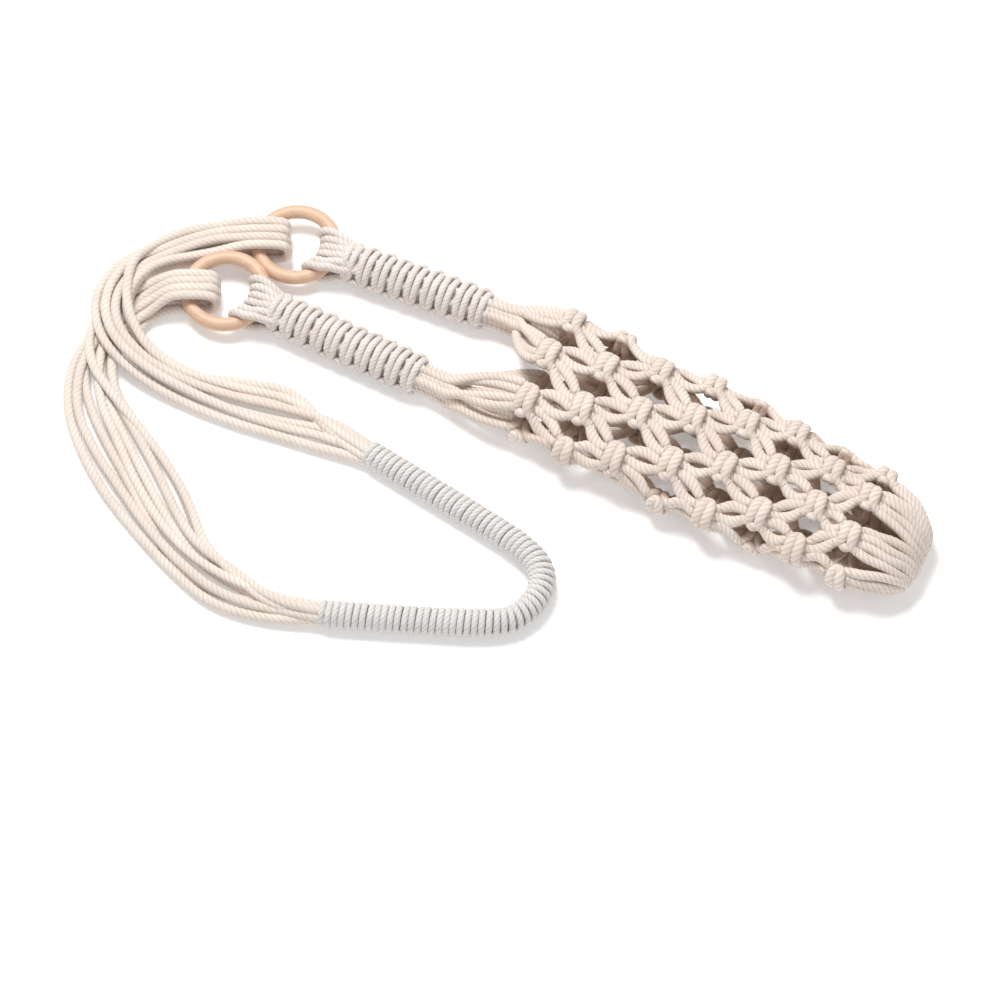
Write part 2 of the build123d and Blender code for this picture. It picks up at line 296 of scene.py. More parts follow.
class Cords:
    """One piece of the model, made of lengths of twisted cord."""

    def __init__(self, name, inner_side_painted_shade=False):
        self.name = name
        self.inner_side_painted_shade = inner_side_painted_shade                    # whether the inner side of its cords gets painted shade, in the darker inside colour
        self.points, self.faces, self.look, self.lie = [], [], [], []
        self.count = 0

    def lay(self, rows, radius, phase=0.0, tone=0.5, first=0, last=None, lay=LAY, floor=True, widen=1.0):
        """rows hold x, y, z, and optionally the outward direction and the cord's width and height.
        Only the stretch from first to last is made, so that two pieces of one cord meet exactly."""
        spot = rows[:, :3].copy()
        if floor:
            rest = radius + FLOOR_GAP
            over = (spot[:, 2] - rest) / FLOOR_EASE
            spot[:, 2] = rest + FLOOR_EASE * np.logaddexp(0, over) - FLOOR_PRESS * np.exp(-np.abs(over))
        way = unit(np.gradient(spot, axis=0))
        out = rows[:, 3:6] if rows.shape[1] > 3 else self.carried(way)
        side = unit(np.cross(way, out))
        out = np.cross(side, way)
        wide = rows[:, 6] if rows.shape[1] > 6 else np.full(len(spot), widen)
        high = rows[:, 7] if rows.shape[1] > 7 else np.ones(len(spot))
        length = run_length(spot)
        last = len(spot) - 1 if last is None else last
        keep = slice(first, last + 1)
        around = np.arange(AROUND) * 2 * math.pi / AROUND
        turn = phase - 2 * math.pi * length[keep, None] / lay + around
        grow = radius * PLY_SHAPE
        ring = (
            spot[keep, None, :]
            + (wide[keep, None] * grow * np.cos(turn))[:, :, None] * side[keep, None, :]
            + (high[keep, None] * grow * np.sin(turn))[:, :, None] * out[keep, None, :])
        count = ring.shape[0]
        self.points.append(ring.reshape(-1, 3))
        grid = np.arange(count * AROUND).reshape(count, AROUND) + self.count
        after = np.roll(grid, -1, axis=1)
        quads = np.stack((grid[:-1], grid[1:], after[1:], after[:-1]), axis=-1).reshape(-1, 4)
        self.faces += quads.tolist()
        self.faces += [grid[0].tolist(), grid[-1][::-1].tolist()]
        # Painted shade: with the flag set, the side of the cord turned from its outward direction is marked
        # for the darker inside colour.
        facing = np.sin(turn) if self.inner_side_painted_shade else np.ones_like(turn)
        self.look.append(np.stack((
            np.tile(PLY_GROOVE_SHADE_MASK, count), np.full(count * AROUND, tone),
            (facing * 0.5 + 0.5).ravel()), axis=-1))
        self.lie.append(np.stack((
            np.tile(np.cos(around), count) + STREAK_SHIFT * tone, np.tile(np.sin(around), count),
            np.repeat(length[keep] / STREAK_LENGTH, AROUND)), axis=-1))
        self.count += count * AROUND
        return spot[keep]

    @staticmethod
    def carried(way):
        """An outward direction carried along the line without turning round it."""
        out = np.zeros_like(way)
        hint = np.array((0.0, 0.0, 1.0)) if abs(way[0, 2]) < 0.9 else np.array((1.0, 0.0, 0.0))
        for i in range(len(way)):
            hint = hint - way[i] * (hint @ way[i])
            hint = hint / max(np.linalg.norm(hint), 1e-9)
            out[i] = hint
        return out

    def make(self, material, slot, nodes, body=None, blend=None):
        """Makes the object, which rides on a body; where a blend between two bodies is given, its transform
        is only baked into its mesh.
        """
        mesh = bpy.data.meshes.new(self.name)
        points = (np.vstack(self.points) - MIDDLE) / 1000.0
        mesh.from_pydata(points.tolist(), [], self.faces)
        for name, values in (("cord_shade_and_tone", self.look), ("cord_lay", self.lie)):
            attribute = mesh.attributes.new(name, "FLOAT_VECTOR", "POINT")
            attribute.data.foreach_set("vector", np.vstack(values).astype(np.float32).ravel())
        mesh.polygons.foreach_set("use_smooth", [True] * len(mesh.polygons))
        mesh.materials.append(material)
        mesh.update()
        made = bpy.data.objects.new(self.name, mesh)
        bpy.context.scene.collection.objects.link(made)
        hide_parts(*nodes)
        if body:
            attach(made, body)
        if blend:
            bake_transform(made)
        return made


# ------------------------------------------------------------------ rings
RING_R, RING_TUBE = 23.25, 4.25
RINGS = {                          # centre, heading along its arm, and sideways tilt
    "front": ((-142.5, -24.3, 12.0), -2.4, 5.0),
    "back": ((-119.6, 24.8, 11.3), 2.3, 4.0),
}
RING_GRAIN = {"front": 35.0, "back": -20.0}


def ring_frame(side):
    """The ring's centre and its own three directions: along its arm, across, and square to the ring."""
    centre, turn, tilt = RINGS[side]
    along = heading(turn)
    tilt = math.radians(tilt)
    across = np.array((-along[1], along[0], 0.0)) * math.cos(tilt) + np.array((0, 0, math.sin(tilt)))
    return np.array(centre), along, across, np.cross(along, across)


for side, grain in RING_GRAIN.items():
    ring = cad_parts[f"{side}_ring"]
    ring.data.materials.clear()
    ring.data.materials.append(beech(f"{side}_beech", grain))

# ------------------------------------------------------------------ strap cords, folded through each ring
# x, y, middle height, width and height of each hank, in metres.
BACK_HANK = [
    (-0.1513, 0.0136, 0.0106, 0.020, 0.0202), (-0.165, 0.0075, 0.0085, 0.020, 0.015),
    (-0.180, -0.002, 0.0075, 0.020, 0.012), (-0.192, -0.016, 0.010, 0.020, 0.0105),
    (-0.200, -0.036, 0.017, 0.021, 0.010), (-0.2005, -0.060, 0.017, 0.022, 0.010),
    (-0.188, -0.080, 0.017, 0.021, 0.010), (-0.164, -0.092, 0.0105, 0.019, 0.011),
    (-0.134, -0.095, 0.0058, 0.021, 0.0105), (-0.103, -0.091, 0.0054, 0.034, 0.010),
    (-0.072, -0.085, 0.0054, 0.039, 0.010), (-0.043, -0.085, 0.0058, 0.030, 0.0105),
    (-0.0142, -0.089, 0.0086, 0.0145, 0.0145),
]
FRONT_HANK = [
    (-0.1728, -0.0388, 0.0111, 0.020, 0.0202), (-0.184, -0.049, 0.0063, 0.020, 0.012),
    (-0.1915, -0.064, 0.0052, 0.021, 0.010), (-0.196, -0.082, 0.0052, 0.022, 0.010),
    (-0.193, -0.105, 0.0052, 0.027, 0.010), (-0.179, -0.128, 0.0052, 0.038, 0.010),
    (-0.157, -0.147, 0.0052, 0.044, 0.010), (-0.133, -0.165, 0.0052, 0.046, 0.010),
    (-0.107, -0.184, 0.0052, 0.041, 0.010), (-0.080, -0.200, 0.0053, 0.027, 0.010),
    (-0.051, -0.208, 0.0056, 0.026, 0.0105), (-0.021, -0.208, 0.007, 0.020, 0.013),
    (0.0088, -0.2001, 0.0086, 0.0145, 0.0145),
]
GRIP_ROUTE = [
    (-0.014, -0.089), (0.050, -0.100), (0.104, -0.110), (0.119, -0.127), (0.116, -0.150),
    (0.104, -0.1625), (0.059, -0.181), (0.009, -0.200),
]
GRIP_Z = 0.0086
GRIP_TUCK = 14.0                   # how far the strap's strands go into the grip
STRAND_HEADING = 205.5             # of all strands where they leave the rings
STRAP_R = STRAP_CORD / 2
STRAP_FLATTENED = 1.15
STRAP_CORDS = 4                    # through each ring
CROSSING_STRAND = (3, 1)           # the slot and layer of the strand that crosses the rest of its hank
FOLD = [           # along the strap from the tube's middle, and height: over it, through the eye, back
    (0, 8.3), (-9.4, 8.0), (-16.2, 7.2), (-18.2, 0), (-16.2, -7.2), (-9.4, -8.0), (0, -8.2),
]
STRAP_FOLDS = {"front": (5.1, 0.0), "back": (5.7, 3.5)}      # between cords, and their shift sideways
STRAP_BLEND_WAY = -41.4            # the way over which the strands pass from the arms to the lifting strap
STRAP_BLEND = (
    "arms", "strap", metres(*(heading(STRAP_BLEND_WAY, -74.0) + (0, 0, 16))),
    metres(*(heading(STRAP_BLEND_WAY, 24.0) + (0, 0, 16))))


def strand(stations, slot, upper, spread, rng):
    """One strand of a hank as control points from the ring to the grip.
    At the ring the strands lie stacked in two layers, in the open hank side by side, and in the grip as a
    round bundle."""
    rows = np.array(stations) * 1000.0
    count = len(rows)
    crosses = (slot, upper) == CROSSING_STRAND
    layer = 1.0 if upper else -1.0
    flat_place = (2 * slot + upper) / 3.5 - 1.0
    stack_place = (slot - 1.5) / 1.5
    bundle_angle = math.radians(360.0 * (2 * slot + upper) / 7.0 + 20.0)
    bundle_out = 0.0 if crosses else 0.88
    phase = rng.uniform(0, 2 * math.pi)
    points = []
    for i, (x, y, z, width, height) in enumerate(rows):
        before, after = rows[max(i - 1, 0)], rows[min(i + 1, count - 1)]
        way = heading(STRAND_HEADING) if i == 0 else unit(after[:3] - before[:3])
        across = unit(np.array((way[1], -way[0], 0.0)))
        half_width = width / 2 - STRAP_R
        open_flat = smooth((width - 23.0) / 13.0)
        sideways = stack_place + (flat_place - stack_place) * open_flat
        level = layer * (1 - open_flat) - open_flat
        if i == 0:
            sideways, level = (slot - 1.5) * spread / half_width, layer
        gather = smooth((i - (count - 3.2)) / 2.2)
        sideways = sideways * (1 - gather) + bundle_out * math.cos(bundle_angle) * gather
        level = level * (1 - gather) + bundle_out * math.sin(bundle_angle) * gather
        loose = 0.0 if i in (0, count - 1) else 1.0
        stray = loose * (1 - gather)
        stroll = 1.9 * math.sin(phase + i * 1.1) + rng.uniform(-0.9, 0.9)
        shift = sideways * half_width * (1 + 0.16 * stray) + stray * stroll
        lift = level * (height / 2 - STRAP_R) + loose * rng.uniform(0.0, 0.9) + 2.4 * open_flat * upper
        if crosses:
            crossed = smooth((i - 2.2) / 3.6)
            shift -= 2 * shift * crossed * (1 - gather)
            lift += 4.6 * math.exp(-((i - 4.2) / 1.5) ** 2)
        points.append(np.array((x, y, max(z + lift, STRAP_R + FLOOR_GAP))) + across * shift)
    return points


def strap_cord(side, slot, stations, grip_end, grip_next):
    """The whole route of one strap cord: out of the grip, through the ring and back into the grip."""
    rng = random.Random(f"{side} strap {slot}")
    centre, _, _, square_up = ring_frame(side)
    spread, shift = STRAP_FOLDS[side]
    leave, sideways = heading(STRAND_HEADING), heading(STRAND_HEADING - 90)
    crossing = centre + leave * RING_R + sideways * shift
    crossing[2] = centre[2] - ((crossing - centre) @ square_up) / square_up[2]
    out_of_grip = strand(stations, slot, 1, spread, rng)
    into_grip = strand(stations, slot, 0, spread, rng)
    wander = rng.uniform(-0.8, 0.8)
    fold = [
        crossing + leave * (e + (rng.uniform(-0.9, 0.9) if abs(e) > 12 else 0.0)) + np.array((0, 0, z))
        + sideways * ((slot - 1.5) * spread + (wander if abs(e) > 9.6 else 0.0))
        for e, z in FOLD
    ]
    inward = unit(np.array((*grip_next, 0.0)) - np.array((*grip_end, 0.0))) * GRIP_TUCK
    start, end = out_of_grip[-1] + inward, into_grip[-1] + inward
    return [start] + out_of_grip[::-1] + fold + into_grip + [end]


for side, stations, grip_end, grip_next in (
    ("back", BACK_HANK, GRIP_ROUTE[0], GRIP_ROUTE[1]),
    ("front", FRONT_HANK, GRIP_ROUTE[-1], GRIP_ROUTE[-2]),
):
    for slot in range(STRAP_CORDS):
        line = nurbs_line(strap_cord(side, slot, stations, grip_end, grip_next))
        rows, _ = even(line, np.arange(len(line)))
        rng = random.Random(f"{side} tone {slot}")
        cords = Cords(f"{side}_strap_cord_{slot + 1}")
        spots = cords.lay(
            rows, STRAP_R, rng.uniform(0, 6), rng.random(), lay=STRAP_LAY, widen=STRAP_FLATTENED)
        nodes = [f"{side}_strap_loops", f"{side}_strap_cords_at_ring", f"{side}_strap_cords_at_grip"]
        made = cords.make(STRAP_COTTON, "strap_cord", nodes, blend=STRAP_BLEND)
        path = (spots - MIDDLE) / 1000.0

# ------------------------------------------------------------------ grip
WHIPPING_PITCH = 4.05
WHIPPING_OUT = 6.45                # the whipping cord's middle from the grip's own middle
WHIPPING_R, WHIPPING_HEIGHT = 2.02, 0.92
WHIPPING_TUCK = 1.6                # how far its two ends go in
WHIPPING_STEP = 1.05
GRIP_CORE_R = 5.0
GRIP_STEP = 0.5


def whipping_rows(grip_line):
    """The whipping cord wound round the grip, a little unevenly, with its outward directions."""
    turns = GRIP_STEP * (len(grip_line) - 1) / WHIPPING_PITCH
    samples = int(turns * 36)
    share = np.linspace(0, 1, samples)
    centre_line = np.column_stack([
        np.interp(share * (len(grip_line) - 1), np.arange(len(grip_line)), grip_line[:, k])
        for k in range(3)])
    way = unit(np.gradient(centre_line, axis=0))
    up = np.array((0.0, 0.0, 1.0))
    level_side = unit(np.cross(way, up))
    rng = random.Random("whipping")
    marks = np.arange(int(turns) + 2)
    wobble = np.interp(share * turns, marks, [rng.uniform(-1, 1) for _ in marks])
    angle = 2 * math.pi * turns * share
    out_way = level_side * np.cos(angle)[:, None] + up * np.sin(angle)[:, None]
    tuck = smooth(np.minimum(share, 1 - share) * turns / 0.4)
    reach = (WHIPPING_OUT - WHIPPING_TUCK + WHIPPING_TUCK * tuck + 0.18 * wobble)[:, None]
    slide = (wobble * 0.35)[:, None] * way
    width_height = np.tile((1.0, WHIPPING_HEIGHT), (samples, 1))
    rows = np.hstack((centre_line + out_way * reach + slide, out_way, width_height))
    return even(rows, np.arange(samples), WHIPPING_STEP, soften=0)[0]


route = nurbs_line([np.array((x * 1000, y * 1000, GRIP_Z * 1000)) for x, y in GRIP_ROUTE], 24)
grip_line, _ = even(route, np.arange(len(route)), GRIP_STEP)
grip_core = Cords("grip_core_cords")
grip_core.lay(grip_line[::3], GRIP_CORE_R, 0.4, 0.3, lay=GRIP_CORE_LAY)
grip_core.make(STRAP_COTTON, "strap_cord", ["grip_core"], body="strap")
# The whipping's cords get painted shade on their inner sides, between the turns.
whipping = Cords("grip_whipping_cord", True)
whipping.lay(whipping_rows(grip_line), WHIPPING_R, lay=WHIPPING_LAY, floor=False)
whipping.make(WHIPPING_COTTON, "whipping_cord", ["grip_whipping"], body="strap")

# ------------------------------------------------------------------ net cords folded round the rings
ARM_Z = 12.6
NECKS = {"front": (0.0, -30.4), "back": (16.0, 30.3)}       # where the arms end and the fans begin
THROAT = 31.7                      # from a ring's centre to where its arm begins
RING_FOLDS = (-13.0, -7.8, -2.6, 2.6, 7.8, 13.0)      # how far across the ring each cord is folded
FOLD_ROUND = RING_TUBE + FOLD_CORD / 2 + 0.05


def arm_frame(side):
    """The arm's start, its length, and its own three directions."""
    centre, along, _, _ = ring_frame(side)
    start = centre + along * THROAT
    start[2] = ARM_Z
    neck = np.array((*NECKS[side], ARM_Z))
    way = unit(neck - start)
    left = unit(np.cross(np.array((0.0, 0.0, 1.0)), way))
    return start, float(np.linalg.norm(neck - start)), way, left, np.cross(way, left)


def ring_fold(side, offset, lateral):
    """One cord's way out of the arm, round the ring and back: offset across the ring, and lateral from
    -1 to 1 across the arm."""
    centre, along, across, square_up = ring_frame(side)
    start, _, way, left, up = arm_frame(side)
    reach = math.sqrt(RING_R ** 2 - offset ** 2)
    stretch = RING_R / reach
    plane = centre + across * offset
    halves = []
    for top in (1, -1):
        inner = start + way * 13 + left * lateral * 6.0 + up * top * 4.4
        mouth = start + way * 2.5 + left * lateral * 9.6 + up * top * (7.4 - 3.6 * lateral ** 2)
        half = [inner, mouth, (mouth + plane + along * reach + square_up * top * FOLD_ROUND * 1.1) / 2
                + square_up * top * 0.8]
        for degrees in (80, 112, 146):
            b = math.radians(degrees)
            half.append(plane + along * (reach + FOLD_ROUND * stretch * math.cos(b))
                        + square_up * top * FOLD_ROUND * math.sin(b))
        halves.append(half)
    inside = [plane + along * (reach - FOLD_ROUND * stretch)]
    points = np.array(halves[0] + inside + halves[1][::-1])
    facing = points - (plane + along * (reach + 3.0))
    facing -= np.outer(facing @ across, across)
    line, numbers = spline(np.hstack((points, unit(facing), np.tile((0.98, 1.0), (len(points), 1)))), 14)
    return even(line, numbers, soften=2)[0]


for side in RINGS:
    rng = random.Random(f"{side} ring folds")
    loops = Cords(f"{side}_ring_folds")
    for i, offset in enumerate(RING_FOLDS):
        line = ring_fold(side, offset + rng.uniform(-0.4, 0.4), (i - 2.5) / 2.5)
        loops.lay(line, FOLD_CORD / 2, rng.uniform(0, 6), rng.random())
    loops.make(ARM_COTTON, "arm_cord", [f"{side}_ring_loops"], body="arms")

# ------------------------------------------------------------------ arms: square-knot sleeve round the cords
BAR_PITCH = 5.15
SLEEVE_BASE = 10.4                 # the working cords' middle from the arm's own middle
SLEEVE_TURN = -14.0                # turns the knobs a little to the front
SLEEVE_SHORT = 9.0                 # of the arm left bare at its end
OVER = [                           # along, in bar pitches; round from the top, to the left; out, in cords
    (-0.66, 92, -0.06), (-0.52, 62, 0.0), (-0.46, 2, 0.04), (-0.40, -58, 0.0), (-0.24, -92, -0.10),
    (0.0, -101, -0.16), (0.24, -92, -0.10), (0.40, -58, 0.0), (0.46, 2, 0.04), (0.52, 62, 0.0),
    (0.66, 92, -0.06), (1.0, 97, -0.12),
]
UNDER = [
    (-0.56, -102, 0.12), (-0.46, -135, 0.0), (-0.45, -180, 0.0), (-0.44, -228, 0.0), (-0.36, -262, 0.22),
    (-0.14, -279, 0.46), (0.14, -279, 0.46), (0.36, -262, 0.22), (0.44, -228, 0.0), (0.45, -180, 0.0),
    (0.46, -135, 0.0), (0.56, -102, 0.12), (0.82, -90, 0.24), (1.18, -90, 0.24),
]
LAST_KNOT_ENDS = 0.7               # the last knot's cords stop here, in bar pitches
for side in RINGS:
    rng = random.Random(f"{side} sleeve")
    start, arm_length, way, left, up = arm_frame(side)
    sleeve_length = arm_length - SLEEVE_SHORT
    square_knots = int(round(sleeve_length / (2 * BAR_PITCH)))
    pitch = sleeve_length / (2 * square_knots)
    # The sleeve's cords get painted shade on their inner sides, between the bars.
    sleeve = Cords(f"{side}_arm_sleeve", True)
    jitter = [(rng.uniform(-0.10, 0.10), rng.uniform(-6, 6), rng.uniform(-0.05, 0.05))
              for _ in range(square_knots + 1)]
    for pattern, tone in ((OVER, 0.62), (UNDER, 0.45)):
        rows = []
        for k in range(square_knots):
            a_move, turn_move, out_move = jitter[k]
            for a, turn, out in pattern:
                if k == square_knots - 1 and a > LAST_KNOT_ENDS:
                    continue
                place = (2 * k + 1 + a + a_move * (1 - abs(a) / 2)) * pitch
                end_share = min(place, sleeve_length - place) / sleeve_length
                slim = 0.93 + 0.07 * float(smooth(end_share * 8))
                t = math.radians(turn + SLEEVE_TURN + turn_move * 0.5)
                round_way = up * math.cos(t) + left * math.sin(t)
                away = (SLEEVE_BASE + (out + out_move) * SLEEVE_CORD) * slim
                rows.append(np.concatenate((
                    start + way * place + round_way * away, round_way, (1.06, 0.96))))
        line, _ = even(*spline(rows), soften=2)
        sleeve.lay(line, SLEEVE_CORD / 2, rng.uniform(0, 6), tone, lay=SLEEVE_LAY)
    sleeve.make(ARM_COTTON, "arm_cord", [f"{side}_arm_sinnet"], body="arms")

# ------------------------------------------------------------------ net surface
NET_HALF_WIDTH, NET_TOP, NET_BOTTOM = 43.0, 14.6, 13.6
NET_AXIS_Z = 20.0
NET_LEAN, NET_LEAN_FROM = 0.085, 55.0            # sideways, per length from there on
NET_NARROWS = (190.0, 95.0, 0.18)                # from there, over this length, by this share
NET_UNDERSIDE = 0.72                             # a power; below 1 it makes the lower half fuller
# Where each round of knots lies along the net, and how far it is turned round it.
ROW_X = [60, 93, 124, 154, 185, 215, 243, 270]
ROW_TWIST = [4, 0, -4, -8, -11, -14, -9, -2]
COLUMNS = 6
outline_turn = np.linspace(0, 2 * math.pi, 1441)
outline_power = np.where(np.cos(outline_turn) >= 0, 1.0, NET_UNDERSIDE)
outline_y = NET_HALF_WIDTH * np.sign(np.sin(outline_turn)) * np.abs(np.sin(outline_turn)) ** outline_power
outline_z = (np.where(np.cos(outline_turn) >= 0, NET_TOP, NET_BOTTOM) * np.sign(np.cos(outline_turn))
             * np.abs(np.cos(outline_turn)) ** outline_power)
outline_s = np.concatenate(([0], np.cumsum(np.hypot(np.diff(outline_y), np.diff(outline_z)))))
GIRTH = float(outline_s[-1])
PITCH = GIRTH / COLUMNS


def lean(x):
    """How far the net's middle lies to the side there."""
    return -NET_LEAN * max(x - NET_LEAN_FROM, 0.0)


def on_net(x, s, out=0.0):
    """The point and outward direction at s round the net from its top, out from its surface."""
    def section(place):
        place %= GIRTH
        return np.interp(place, outline_s, outline_y), np.interp(place, outline_s, outline_z)

    y, z = section(s)
    y_before, z_before = section(s - 3)
    y_after, z_after = section(s + 3)
    normal = unit(np.array((0.0, -(z_after - z_before), y_after - y_before)))
    narrows_from, over, by = NET_NARROWS
    width = 1 - by * smooth((x - narrows_from) / over)
    return np.array((x, y * width + lean(x), NET_AXIS_Z + z)) + normal * out, normal


# A square knot, in cord thicknesses: along the net, across, out. Strands 0 and 3 are knotted round 1 and 2.
BAR = 0.52
KNOT = [
    [(-1.35, -1.50, -0.1), (-BAR - 0.16, -1.24, 0.34), (-BAR - 0.02, -0.66, 0.82),
     (-BAR, 0.0, 0.94), (-BAR + 0.02, 0.66, 0.82), (-BAR + 0.1, 1.20, 0.4), (0.0, 1.46, 0.0),
     (BAR - 0.1, 1.20, 0.4), (BAR - 0.02, 0.66, 0.82), (BAR, 0.0, 0.94), (BAR + 0.02, -0.66, 0.82),
     (BAR + 0.16, -1.24, 0.34), (1.35, -1.50, -0.1)],
    [(-1.35, -0.52, -0.1), (-0.7, -0.42, -0.08), (0.0, -0.38, -0.1), (0.7, -0.42, -0.08),
     (1.35, -0.52, -0.1)],
    [(-1.35, 0.52, -0.1), (-0.7, 0.42, -0.08), (0.0, 0.38, -0.1), (0.7, 0.42, -0.08),
     (1.35, 0.52, -0.1)],
    [(-1.35, 1.50, -0.1), (-0.8, 1.1, -0.45), (-BAR, 0.35, -0.86),
     (-BAR + 0.04, -0.45, -0.84), (-0.36, -1.16, -0.4), (-0.28, -1.58, 0.15), (0.0, -1.66, 0.36),
     (0.28, -1.58, 0.15), (0.36, -1.16, -0.4), (BAR - 0.04, -0.45, -0.84), (BAR, 0.35, -0.86),
     (0.8, 1.1, -0.45), (1.35, 1.50, -0.1)],
]
KNOTTED = (0, 3)                   # the two strands of each knot that are tied, round the other two
knot_rng = random.Random("net knots")
KNOT_PLACES = {                    # along the net, round it, turned, and out from its surface
    (row, column): (
        ROW_X[row] + knot_rng.uniform(-1.6, 1.6),
        ROW_TWIST[row] + PITCH * (column + 0.5 * (row % 2)) + knot_rng.uniform(-1.8, 1.8),
        math.radians(knot_rng.uniform(-9, 9)), knot_rng.uniform(-0.6, 0.8))
    for row in range(len(ROW_X)) for column in range(COLUMNS)
}


def knot_rows(row, column, strand_number):
    """The strand's way through one knot, as points with their outward direction, width and height."""
    x0, s0, turned, proud = KNOT_PLACES[row, column]
    rows = []
    for a, across, out in KNOT[strand_number]:
        x = x0 + CORD * (a * math.cos(turned) - across * math.sin(turned) * 0.6)
        s = s0 + CORD * (across * math.cos(turned) + a * math.sin(turned) * 0.6)
        point, normal = on_net(x, s, out * CORD + proud)
        flat = 1.0 + 0.14 * max(out, 0.0)
        rows.append(np.concatenate((point, normal, (flat, 2.0 - flat - 0.06 * max(out, 0.0)))))
    return rows


# ------------------------------------------------------------------ strands of the net, from arm to tip
FAN_PAIRS = {                      # first-round knots of each arm with the places of its pairs in the bundle
    "front": [(5, (65, 125)), (4, (185, 245)), (3, (305, 365))],
    "back": [(0, (125, 185)), (1, (5, 65)), (2, (245, 305))],
}
FAN_CUT = 8.0                      # the fan's piece starts this far before the neck
FAN_BLEND_PAST = 30.0              # and the blend span given with it ends this far past it; make only bakes the piece's transform
LEG_SPREAD = {True: 2.3, False: -2.0}            # how far a leg's knotted and inner strands bow out
LEG_WIDTH_HEIGHT = (1.24, 0.90)
NET_CORD_R = CORD / 2 + 0.2
TIP_STAGES = [                     # along the net, width left, share of the way down to the gather
    (284.0, 0.96, 0.02), (294.0, 0.87, 0.12), (302.0, 0.72, 0.34), (306.5, 0.56, 0.66), (305.0, 0.40, 0.95),
    (296.0, 0.27, 1.05), (286.0, 0.18, 1.0),
]
GATHER_Z = 6.5
KNOT_ROUNDS = range(1, len(ROW_X) + 1)
pieces = {name: Cords(name) for name in (
    "front_arm_cords", "back_arm_cords", "front_fan", "back_fan", "net_end_bunch")}
# The net's knots, legs and end cords get painted shade on the inner sides of their cords.
pieces.update({name: Cords(name, True) for name in (
    ["net_end_cords_over_tip"] + [f"square_knots_{k}" for k in KNOT_ROUNDS]
    + [f"net_legs_{k}_to_{k + 1}" for k in KNOT_ROUNDS[:-1]])})


def bundle_rows(side, angle, pair_shift):
    """From inside the sleeve to just past the neck: points on the bundle of the arm's cords."""
    start, arm_length, way, left, up = arm_frame(side)
    angle = math.radians(angle + 14.0 * pair_shift)
    inner = 6.9 if pair_shift > 0 else 5.2
    rows = []
    for place, out, turn in (
        (4.0, inner, 0.0), (arm_length * 0.5, inner, 0.05), (arm_length - 22, inner, 0.0),
        (arm_length - FAN_CUT, inner, 0.0), (arm_length + 2, inner * 0.98, 0.0),
        (arm_length + 11, inner * 1.18, 0.0),
    ):
        round_way = left * math.cos(angle + turn) + up * math.sin(angle + turn)
        rows.append(np.concatenate((start + way * place + round_way * out, round_way, (1.0, 1.0))))
    return rows


def fan_rows(side, begin, entry, number, rng):
    """Two points between the bundle and the first knot, where the strand bellies outward."""
    off_middle = np.array((0, np.sign(entry[1] - NECKS[side][1]), 0))
    rows = []
    for share, belly in ((0.30, 0.8), (0.66, 1.0)):
        middle = begin * (1 - share) + entry * share
        outward = unit(begin[3:6] * 0.4 + entry[3:6] * 0.3 + off_middle * 0.5)
        middle[:3] += outward * belly * rng.uniform(0.8, 2.8)
        middle[:3] += np.cross(unit(entry[3:6]), (1.0, 0.0, 0.0)) * (number - 1.5) * belly * 1.5
        rows.append(middle)
    return rows


def next_knot(row, column, number):
    """The row and column of the knot the strand enters next, and its number there."""
    if number < 2:
        return row + 1, (column - 1 + row % 2) % COLUMNS, number + 2
    return row + 1, (column + row % 2) % COLUMNS, number - 2


def leg_rows(leave, entry, number, rng):
    """Two points between two knots, where the strand bows sideways and sinks a little into the net."""
    outer = -1 if number < 2 else 1
    spread = LEG_SPREAD[number in KNOTTED] + rng.uniform(-0.6, 0.6)
    sink = rng.uniform(-0.2, 1.4)
    rows = []
    for share in (0.32, 0.68):
        middle = leave * (1 - share) + entry * share
        normal = unit(middle[3:6])
        sideways = np.cross(normal, np.array((1.0, 0.0, 0.0)))
        middle[:3] += sideways * outer * spread - normal * sink
        middle[6:8] = LEG_WIDTH_HEIGHT
        rows.append(middle)
    return rows


def tip_rows(row, column, number, rng):
    """From the last knot over the rounded tip and down to where all the cords are gathered."""
    _, s0, _, _ = KNOT_PLACES[row, column]
    knotted = KNOT[number][-1][1] * CORD
    spread = (number - 1.5) * PITCH / 4
    rows = []
    for i, (x, wide, down) in enumerate(TIP_STAGES):
        even_out = min((i + 1) / 3, 1.0)
        surface, normal = on_net(x, s0 + knotted * (1 - even_out) + spread * even_out)
        height = (surface[2] - NET_AXIS_Z) / NET_TOP
        spot = np.array((
            x + 2.6 * height * (0.3 + down) + rng.uniform(-0.7, 0.7),
            (surface[1] - lean(x)) * wide + lean(x) + rng.uniform(-0.7, 0.7),
            surface[2] * (1 - down) + GATHER_Z * down + rng.uniform(-0.5, 0.5)))
        facing = unit(np.array((0.1 + 1.6 * down, normal[1], normal[2] * (1 - 0.6 * down))))
        rows.append(np.concatenate((spot, facing, (1.0, 1.0))))
    return rows


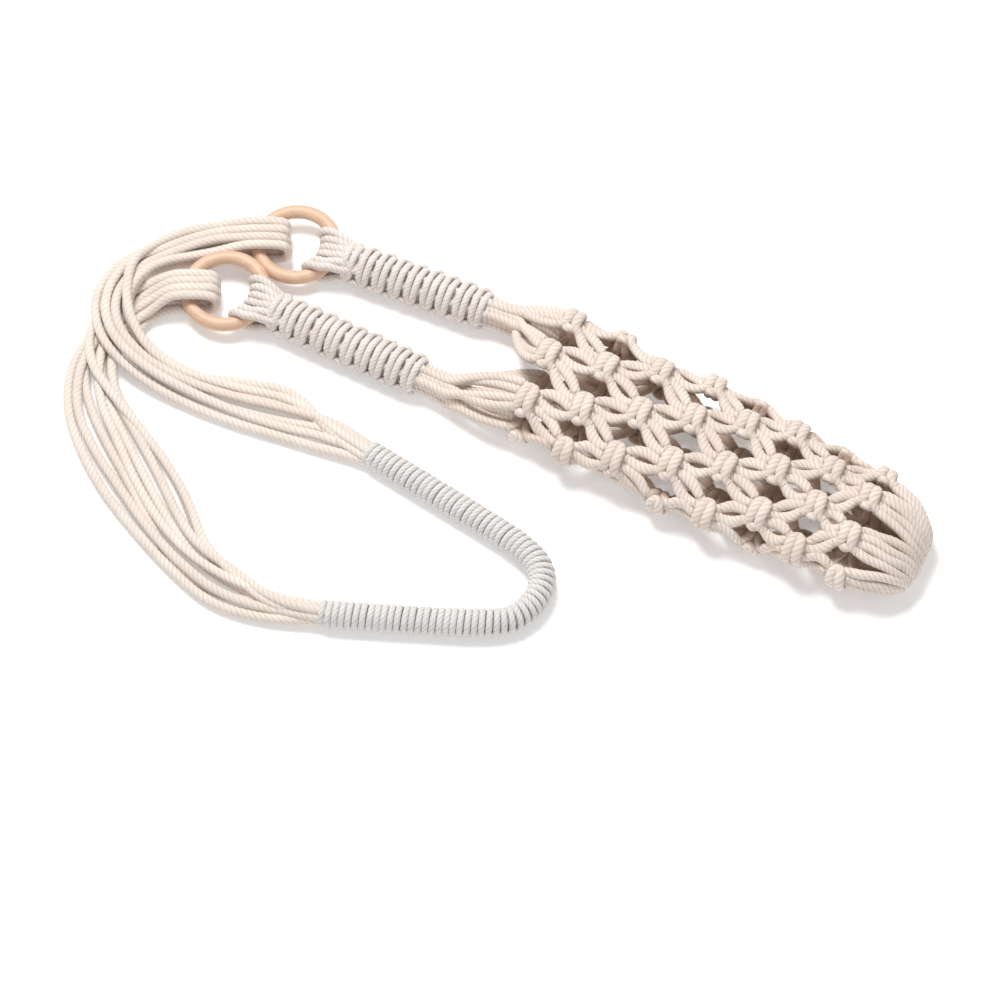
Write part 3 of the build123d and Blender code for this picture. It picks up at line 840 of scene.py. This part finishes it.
def run_strand(side, column, number, pair_angles):
    """One strand from inside its arm to the gathered tip, cut where one piece ends and the next begins."""
    rng = random.Random(f"{side} {column} strand {number}")
    right_pair = number >= 2
    pair_shift = 1 if number in KNOTTED else -1
    rows = bundle_rows(
        side, pair_angles[0] if right_pair else pair_angles[1], pair_shift if right_pair else -pair_shift)
    marks = [(0, f"{side}_arm_cords"), (3, f"{side}_fan")]
    row = 0
    knot = knot_rows(row, column, number)
    rows += fan_rows(side, rows[-1], knot[0], number, rng)
    while True:
        marks.append((len(rows), f"square_knots_{row + 1}"))
        rows += knot
        if row == len(ROW_X) - 1:
            break
        marks.append((len(rows) - 1, f"net_legs_{row + 1}_to_{row + 2}"))
        left_number = number
        row, column, number = next_knot(row, column, number)
        knot = knot_rows(row, column, number)
        rows += leg_rows(rows[-1], knot[0], left_number, rng)
    marks.append((len(rows) - 1, "net_end_cords_over_tip"))
    rows += tip_rows(row, column, number, rng)
    marks.append((len(rows) - 4, "net_end_bunch"))
    line, numbers = even(*spline(rows), soften=2)
    phase, tone = rng.uniform(0, 6), rng.random()
    starts = [int(np.searchsorted(numbers, mark)) for mark, _ in marks] + [len(line) - 1]
    for (_, name), first, last in zip(marks, starts, starts[1:]):
        pieces[name].lay(line, NET_CORD_R, phase, tone, first, last)


for side, feeds in FAN_PAIRS.items():
    for column, pair_angles in feeds:
        for number in range(len(KNOT)):
            run_strand(side, column, number, pair_angles)

for side, (neck_x, neck_y) in NECKS.items():
    pieces[f"{side}_arm_cords"].make(ARM_COTTON, "arm_cord", [f"{side}_arm_core"], body="arms")
    pieces[f"{side}_fan"].make(NET_COTTON, "net_cord", [f"{side}_fan_cords"], blend=(
        "arms", "net", metres(neck_x - FAN_CUT, neck_y, ARM_Z),
        metres(neck_x + FAN_BLEND_PAST, neck_y, ARM_Z)))
for k in KNOT_ROUNDS:
    pieces[f"square_knots_{k}"].make(NET_COTTON, "net_cord", [f"net_knots_round_{k}"], body="net")
for k in KNOT_ROUNDS[:-1]:
    pieces[f"net_legs_{k}_to_{k + 1}"].make(
        NET_COTTON, "net_cord", [f"net_cords_{k}_to_{k + 1}"], body="net")
pieces["net_end_cords_over_tip"].make(NET_COTTON, "net_cord", ["net_end_cords"], body="net")
pieces["net_end_bunch"].make(NET_COTTON, "net_cord", ["net_end_gather"], body="net")

# ------------------------------------------------------------------ floor and light, in metres
FLOOR_HALF, FLOOR_Z = 6, -0.0004
floor_look = Paint("floor").surface({
    "Base Color": (0.93, 0.93, 0.93, 1), "Roughness": 0.9, "Specular IOR Level": 0.0,
    "Emission Color": (1.0, 1.0, 1.0, 1), "Emission Strength": 0.18}, {})
floor_mesh = bpy.data.meshes.new("floor")
floor_mesh.from_pydata(
    [(x * FLOOR_HALF, y * FLOOR_HALF, 0) for x, y in ((-1, -1), (1, -1), (1, 1), (-1, 1))], [],
    [(0, 1, 2, 3)])
floor_mesh.materials.append(floor_look)
floor = bpy.data.objects.new("floor", floor_mesh)
floor.location.z = FLOOR_Z
bpy.context.scene.collection.objects.link(floor)


def softbox(name, place, size, power, colour):
    light = bpy.data.lights.new(name, "AREA")
    light.shape = "SQUARE"
    light.size = size
    light.energy = power
    light.color = colour
    holder = bpy.data.objects.new(name, light)
    holder.location = place
    holder.rotation_euler = Vector(place).to_track_quat("Z", "Y").to_euler()
    bpy.context.scene.collection.objects.link(holder)


softbox("key", (-0.7, 0.5, 2.0), 0.8, 43.0, (1.0, 0.985, 0.97))
softbox("fill", (1.3, -1.4, 1.6), 2.0, 10.0, (0.97, 0.98, 1.0))
world = bpy.data.worlds.new("studio")
world.use_nodes = True
background = world.node_tree.nodes["Background"]
background.inputs["Color"].default_value = (1.0, 1.0, 1.0, 1)
background.inputs["Strength"].default_value = 0.44
bpy.context.scene.world = world
bpy.context.scene.view_settings.view_transform = "Standard"
